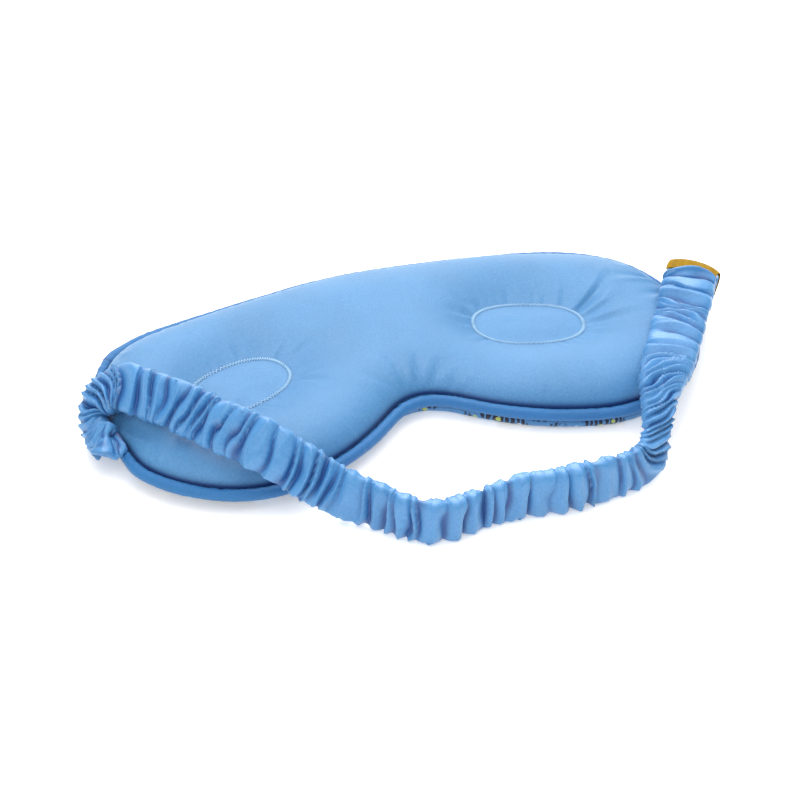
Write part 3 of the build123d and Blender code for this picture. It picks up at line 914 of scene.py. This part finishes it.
class MASK_OT_front(bpy.types.Operator):
    """Sew the printed satin front, flat where it rests, and its wadding"""
    bl_idname = "sleep_mask.front"
    bl_label = "Printed Front"

    def build(self, name, across, up, rows, skin, material, slot, node_name, sizes, fill):
        """A closed padded form of four grids: the bulging side, the flat face on the table, and the lid in
        two parts.  skin is how far it lies inside the satin, in mm."""
        _, _, patch, _ = panel_plan(across, up, rows, PANEL_INSET)
        line, out = mask_outline(2 * (across + up))
        line, out = np.vstack([line, line[:1]]), np.vstack([out, out[:1]])
        inset, level = front_profile(rows)
        inset = inset + skin * (1 - smoothstep((inset - 8) / 4))
        run = np.arange(len(line)) * 0.031
        ripple = 0.10 * np.sin(run * 40 + 3 * np.sin(run * 7)) * np.exp(-((inset[:, None] - 1.5) / 1.6) ** 2)
        tuck = 2.5 * smoothstep((25 - line[None, :, 0]) / 70) * smoothstep((CORE_INSET - inset[:, None]) / 8)
        tuck = tuck * smoothstep((5.6 - level[:, None]) / 2.5)
        side = line[None] - out[None] * (inset[:, None] + ripple + tuck)[..., None]
        height = np.clip(np.broadcast_to(level[:, None], side.shape[:2]), skin, 5.45 - skin)
        # painted shade in the groove under the piping: darkest at the top of the side, fading over about a mm of
        # height, only near the edge
        shade = np.broadcast_to(0.9 * np.exp(-(5.45 - level[:, None]) / 0.9) * (inset[:, None] < 6),
                                side.shape[:2])
        grids = [(draw_in(np.concatenate([side, height[..., None]], -1), sizes), side, shade)]
        flat = np.full(patch.shape[:2] + (1,), max(skin, 0.0))
        grids.append((draw_in(np.concatenate([patch, flat], -1), sizes), patch, 0.0))
        lid_inset = np.linspace(inset[0], CORE_INSET, 3)
        lid = line[None] - out[None] * lid_inset[:, None, None]
        top = np.full(lid.shape[:2] + (1,), height[0, 0])
        grids.append((draw_in(np.concatenate([lid, top], -1), sizes), lid, 0.0))
        top = np.full(patch.shape[:2] + (1,), height[0, 0])
        grids.append((draw_in(np.concatenate([patch, top], -1), sizes), patch, 0.0))
        piece = make_piece(name, grids, material, "mask", (node_name,), 2e-6)
        sharpen(piece, 60)

    def execute(self, context):
        scene = context.scene
        sizes, colours = scene.mask_sizes, scene.mask_colours
        self.build("front_panel_printed", 200, 84, 30, 0.0, printed_satin("printed_satin", colours),
                   "satin_print", "front_panel", sizes, 0.5)
        self.build("front_wadding_fibre", 80, 36, 12, 0.8, fibre_wadding("front_fibre", colours.white),
                   "wadding", "front_wadding", sizes, 0.4)
        return {"FINISHED"}


class MASK_OT_piping(bpy.types.Operator):
    """Sew the satin piping round the mask over its cord, and the run of stitches that holds it"""
    bl_idname = "sleep_mask.piping"
    bl_label = "Piping"

    def execute(self, context):
        scene = context.scene
        sizes, colours = scene.mask_sizes, scene.mask_colours
        rng = np.random.default_rng(21)
        count = 1100
        line, out = mask_outline(count)
        centre = np.column_stack([line - out * PIPING_RADIUS, np.full(count, SEAM_LEVEL)])
        t = np.arange(count) / count * 2 * math.pi
        # slow swelling of the cord, with gathers of the bias strip where the edge turns hardest
        turning = np.abs(np.cross(np.roll(out, -6, 0), np.roll(out, 6, 0)))
        turning = turning / turning.max()

        def whole(low, high, waves):
            """Unevenness that closes on itself: a sum of sine waves with whole counts round the mask."""
            counts = rng.integers(low, high, waves)
            starts = rng.uniform(0, 6.3, waves)
            return sum(np.sin(t * int(r) + p) for r, p in zip(counts, starts)) / math.sqrt(waves)

        centre[:, 2] += 0.10 * whole(2, 9, 4)
        way = np.column_stack([out, np.zeros(count)])
        turn = np.linspace(0, 2 * math.pi, 33)
        turn[-1] = 0
        gather = whole(90, 170, 6)[:, None] * (0.5 + 0.5 * np.sin(turn[None] + whole(5, 20, 3)[:, None]))
        radius = PIPING_RADIUS - 0.04 + 0.05 * whole(6, 30,
                                                     5)[:, None] + (0.035 + 0.10 * turning[:, None]) * gather
        # the strip's two ends lap each other at the brow's left end
        place = np.argmin(np.linalg.norm(line - np.array([-84.5, 36.5]), axis=1))
        step = np.arange(count) - place
        lap = smoothstep((step + 9) / 1.5) * (1 - smoothstep((step - 3) / 10))
        radius = radius + 0.30 * lap[:, None]
        upward = np.array([0, 0, 1.0])
        spokes = np.cos(turn)[None, :, None] * way[:, None] + np.sin(turn)[None, :, None] * upward
        points = centre[:, None] + radius[..., None] * spokes
        points = np.concatenate([points, points[:1]])
        run = np.r_[0, np.cumsum(np.linalg.norm(np.diff(np.vstack([line, line[:1]]), axis=0), axis=1))]
        uv = np.stack(np.broadcast_arrays(run[:, None],
                                          (np.linspace(0, 1, 33) * 2 * math.pi * PIPING_RADIUS)[None]), -1)
        # painted shade: the tube's inner side, facing the groove at the panel, takes the deep colour, with a dark
        # line where the strip's ends lap
        inward = np.cos(turn)[None] * np.ones((count + 1, 1))
        shade = 0.8 * smoothstep((-inward - 0.45) / 0.5)
        lap_line = np.exp(-((np.r_[step, step[:1] + count] + 8) / 1.4) ** 2)[:, None]
        shade = np.clip(shade + 0.5 * lap_line, 0, 1)
        cloth = satin("piping_satin", colours.piping, colours.panel_painted_shade, "uv", rough=0.5, sheen=0.05)
        tube = (draw_in(points, sizes), uv, shade)
        # the flange: the strip's two layers, caught between the panels
        reach = np.array([3.6, 4.4, 6.0, 9.2, 9.2, 6.0, 4.4, 3.6, 3.6])
        above = np.array([0.4, 0.4, 0.4, 0.4, -0.4, -0.4, -0.4, -0.4, 0.4])
        flat, aside = np.vstack([line, line[:1]]), np.vstack([out, out[:1]])
        flange = flat[:, None] - aside[:, None] * reach[None, :, None]
        flange = np.concatenate([flange, np.broadcast_to((SEAM_LEVEL + above)[None, :, None],
                                                         flange.shape[:2] + (1,))], -1)
        flange_uv = np.stack(np.broadcast_arrays(run[:, None], (10 + np.arange(9.0))[None]), -1)
        # the flange carries painted shade at 0.6, lying in the crevice between the panels
        cover = make_piece("piping_satin_strip", [tube, (draw_in(flange, sizes), flange_uv, 0.6)], cloth,
                           "mask", ("piping_cover",), 2e-6)
        sharpen(cover, 60)

        cord_radius = 1.4 + 0.06 * np.sin(t * 160)
        cord = make_piece("piping_cotton_cord", carry_round(draw_in(centre, sizes), cord_radius, 12),
                          thread_material("cotton_cord", colours.white, 0.8), "mask",
                          ("piping_cord",), 2e-6)

        stitches = 2 * 190
        line, out = mask_outline(stitches * 6)
        wave = np.arange(stitches * 6) / 12 * 2 * math.pi
        level = SEAM_LEVEL + 1.0 + 0.16 * np.cos(wave)
        path = np.column_stack([line - out * (PANEL_INSET + 2.5), level])
        make_piece("perimeter_stitches", carry_round(draw_in(path, sizes), 0.14, 6),
                   thread_material("seam_thread", colours.stitch), "mask", ("perimeter_seam",),
                   1e-7)

        # blackout lining, laid flat between the panels
        rings, _, patch, _ = panel_plan(90, 40, 4, PANEL_INSET + 0.3)
        lining_levels = (SEAM_LEVEL + 0.47, SEAM_LEVEL + 0.72)
        grids = []
        for height in lining_levels:
            for xy in (rings, patch):
                points = np.concatenate([xy, np.full(xy.shape[:2] + (1,), height)], -1)
                grids.append((draw_in(points, sizes), xy, 0.0))
        rim = np.stack([np.concatenate([rings[0], np.full((rings.shape[1], 1), h)],
                                       -1) for h in lining_levels])
        grids.append((draw_in(rim, sizes), np.stack([rings[0], rings[0]]), 0.0))
        dark = woven("blackout_cloth", (0.030, 0.035, 0.045, 1), (0.012, 0.014, 0.020, 1), 0.8, 0.8, 0.8,
                     "object")
        lining = make_piece("blackout_lining_cloth", grids, dark, "mask", ("blackout_lining",),
                            2e-6)
        sharpen(lining, 40)
        return {"FINISHED"}


def zigzag(line, out, width, stitches, steps=4):
    """Path of a satin stitch and its rise: it crosses the line from side to side, and rises a little in
    each crossing."""
    count = stitches * 2 * steps
    t = np.arange(count) / count
    ring = np.vstack([line, line[:1]])
    normal = np.vstack([out, out[:1]])
    place = np.linspace(0, 1, len(ring))
    xy = np.stack([np.interp(t, place, ring[:, k]) for k in (0, 1)], 1)
    side = unit(np.stack([np.interp(t, place, normal[:, k]) for k in (0, 1)], 1))
    phase = (t * stitches) % 1
    swing = np.where(phase < 0.5, 4 * phase - 1, 3 - 4 * phase)
    return xy + side * (swing * width / 2)[:, None], 0.13 * (1 - swing ** 2)


class MASK_OT_eyes(bpy.types.Operator):
    """Stitch the zigzag line round each oval"""
    bl_idname = "sleep_mask.eyes"
    bl_label = "Eye Stitches"

    def execute(self, context):
        scene = context.scene
        sizes, colours = scene.mask_sizes, scene.mask_colours
        material = thread_material("eye_thread", colours.stitch)
        rng = np.random.default_rng(8)
        for side, word in ((-1, "left"), (1, "right")):
            line, out = eye_line(side, 720)
            xy, rise = zigzag(line, out, 1.15, 105, 6)
            xy = xy + rng.normal(0, 0.02, xy.shape)
            line_in, _ = mask_outline(640)
            inset = distance_in(xy[:, 0], xy[:, 1], line_in)
            ground = back_level(xy[:, 0], xy[:, 1], inset, sizes, ())
            path = np.column_stack([xy, ground + rise + 0.07])
            make_piece(f"eye_zigzag_{word}", carry_round(path, 0.13, 6), material, "mask",
                       (f"eye_stitch_{word}",), 1e-7)
        return {"FINISHED"}


class MASK_OT_strap(bpy.types.Operator):
    """Gather the satin sleeve over its elastic, in a left and a right run, and stitch both ends"""
    bl_idname = "sleep_mask.strap"
    bl_label = "Gathered Strap"

    def execute(self, context):
        scene = context.scene
        sizes, colours = scene.strap_sizes, scene.mask_colours
        line = StrapLine()
        pleats = Pleats(line, sizes)
        cloth = satin("strap_satin", colours.strap, colours.strap_painted_shade, "uv", rough=0.33, grain=0.4,
                      sheen=0.15, gloss_level=0.6)
        webbing = woven("elastic_webbing", colours.white, (0.55, 0.55, 0.53, 1), 1.6, 0.55, 0.7)
        runs = (
            ("left", 0.0, pleats.middle, ("strap_sleeve", "strap_end_left"),
             ("strap_elastic", "elastic_end_left"), (-92, 0, 0), (-74, 0, 0)),
            ("right", pleats.middle, line.length, ("strap_end_right",), ("elastic_end_right",), (100, -4, 0),
             (88, -22, 0)),
        )
        for word, first, last, sleeve_nodes, elastic_nodes, start, end in runs:
            steps = int((last - first) / sizes.step / 2) * 2
            s = np.linspace(first, last, steps + 1)
            outer, uv, painted_shade = sleeve_surface(line, pleats, sizes, s, 96)
            inner, inner_uv, inner_painted_shade = sleeve_surface(line, pleats, sizes, s[::2], 96, 0.3)
            outer = lift_off(outer, 0.0)
            ends = []
            for at in (0, -1):
                # the two end walls carry painted shade at 0.8
                ends.append((np.stack([outer[at], inner[at]]), np.stack([uv[at], uv[at]]), 0.8))
            name = f"sleeve_{word}_run"
            sleeve = make_piece(name, [(outer, uv, painted_shade), (inner, inner_uv, inner_painted_shade)] + ends, cloth,
                                None, sleeve_nodes, 1e-7)
            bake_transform(sleeve)

            s = np.linspace(first, last, int((last - first) / 1.2))
            here, way, width, face, bunching = line.at(s)
            turn = np.linspace(0, 2 * math.pi, 25)
            turn[-1] = 0
            wide = np.sign(np.cos(turn)) * np.abs(np.cos(turn)) ** 0.3
            thick = np.sign(np.sin(turn)) * np.abs(np.sin(turn)) ** 0.5
            fan = smoothstep((s - line.stations[1]) / 3) * (1 - smoothstep((s - line.stations[7]) / 3))
            half = ELASTIC_WIDTH / 2 * (np.minimum(bunching, 1) ** 1.6 * 0.9 * (1 - 0.75 * fan))[:, None]
            points = here[:, None] + width[:, None] * (wide[None] * half)[..., None]
            points = points + face[:, None] * (thick * 0.4)[None, :, None]
            uv = np.stack(np.broadcast_arrays(s[:, None], (np.linspace(0, 1, 25) * 2 * ELASTIC_WIDTH)[None]),
                          -1)
            caps = [(np.stack([points[k], np.broadcast_to(here[k], points[k].shape)]),
                     np.stack([uv[k], uv[k]]), 0.0) for k in (0, -1)]
            band = make_piece(f"elastic_{word}_run", [(points, uv, 0.0)] + caps, webbing, None,
                              elastic_nodes, 1e-7)
            sharpen(band, 60)
            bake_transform(band)

        # bar of close stitches across each sewn end
        thread = thread_material("tack_thread", colours.stitch)
        for word, station, inward, above in (("left", 1, 3.4, 0.0), ("right", -2, -5.6, 0.5)):
            centre = line.centre[station]
            count = 17 * 2 * 4
            t = np.linspace(0, 1, count)
            phase = (t * 17) % 1
            swing = np.where(phase < 0.5, 4 * phase - 1, 3 - 4 * phase)
            path = np.column_stack([centre[0] + inward + swing * 0.6, centre[1] + (t - 0.5) * 8,
                                    np.full(count, centre[2] + above) + 0.1 * (1 - swing ** 2)])
            make_piece(f"strap_bar_tack_{word}", carry_round(path, 0.17, 6, closed=False), thread,
                       "mask", (f"strap_tack_{word}",), 1e-7)
        return {"FINISHED"}


class MASK_OT_label(bpy.types.Operator):
    """Fold the gold woven label round the strap's end"""
    bl_idname = "sleep_mask.label"
    bl_label = "Label"

    def execute(self, context):
        scene = context.scene
        colours = scene.mask_colours
        line = StrapLine()
        stations = line.stations
        s = np.linspace(stations[30] - 5.8, stations[32] + 2.0, 60)
        here, way, width, face, bunching = line.at(s)
        v = np.linspace(-1, 1, 41)[None]
        bight = smoothstep((s[:, None] - stations[28]) / 6) * (1 - smoothstep((s[:, None] - stations[32]) / 6))
        arch = 1.9 * bight * (1 - v ** 2)
        outward = np.array([0.72, 0.69, 0.0])
        layers = []
        for off in (1.32, 1.78):
            sign = np.sign(face[0, 2])
            points = here[:, None] + width[:, None] * (v * (SLEEVE_WIDTH / 2 * bunching[:, None] + 0.25))[..., None]
            points = points + face[:, None] * sign * off * (1 - 0.25 * v[..., None] ** 4) + outward * (arch + 0.1)[..., None]
            layers.append(points)
        uv = np.stack(np.broadcast_arrays(s[:, None], v * SLEEVE_WIDTH / 2), -1)
        inner, outer = layers
        grids = [(inner, uv, 0.0), (outer, uv, 0.0)]
        for edge in (np.s_[0], np.s_[-1]):
            grids.append((np.stack([inner[edge], outer[edge]]), np.stack([uv[edge], uv[edge]]), 0.0))
            grids.append((np.stack([inner[:, edge], outer[:, edge]]), np.stack([uv[:, edge], uv[:, edge]]),
                          0.0))
        gold = woven("gold_label_weave", colours.gold, tuple(0.55 * c for c in colours.gold[:3]) + (1,), 1.1,
                     1.6, 0.7, sheen=0.0, gloss_level=0.15)
        label = make_piece("label_gold_band", grids, gold, "mask", ("label_band",), 1e-7)
        sharpen(label, 50)
        return {"FINISHED"}


class MASK_PT_panel(bpy.types.Panel):
    """The pieces of the sleep mask"""
    bl_idname = "MASK_PT_panel"
    bl_label = "Sleep Mask"
    bl_space_type = "VIEW_3D"
    bl_region_type = "UI"
    bl_category = "Sleep Mask"

    def draw(self, context):
        for operator in OPERATORS:
            self.layout.operator(operator.bl_idname)


OPERATORS = (MASK_OT_stage, MASK_OT_back, MASK_OT_front, MASK_OT_piping, MASK_OT_eyes, MASK_OT_strap,
             MASK_OT_label)
CLASSES = (MaskSizes, StrapSizes, MaskColours) + OPERATORS + (MASK_PT_panel,)


def register():
    for each in CLASSES:
        bpy.utils.register_class(each)
    bpy.types.Scene.mask_sizes = bpy.props.PointerProperty(type=MaskSizes)
    bpy.types.Scene.strap_sizes = bpy.props.PointerProperty(type=StrapSizes)
    bpy.types.Scene.mask_colours = bpy.props.PointerProperty(type=MaskColours)


def unregister():
    del bpy.types.Scene.mask_sizes, bpy.types.Scene.strap_sizes, bpy.types.Scene.mask_colours
    for each in reversed(CLASSES):
        bpy.utils.unregister_class(each)


def main():
    register()
    bpy.ops.sleep_mask.stage()
    bpy.ops.sleep_mask.back()
    bpy.ops.sleep_mask.front()
    bpy.ops.sleep_mask.piping()
    bpy.ops.sleep_mask.eyes()
    bpy.ops.sleep_mask.strap()
    bpy.ops.sleep_mask.label()


if __name__ == "__main__":
    main()
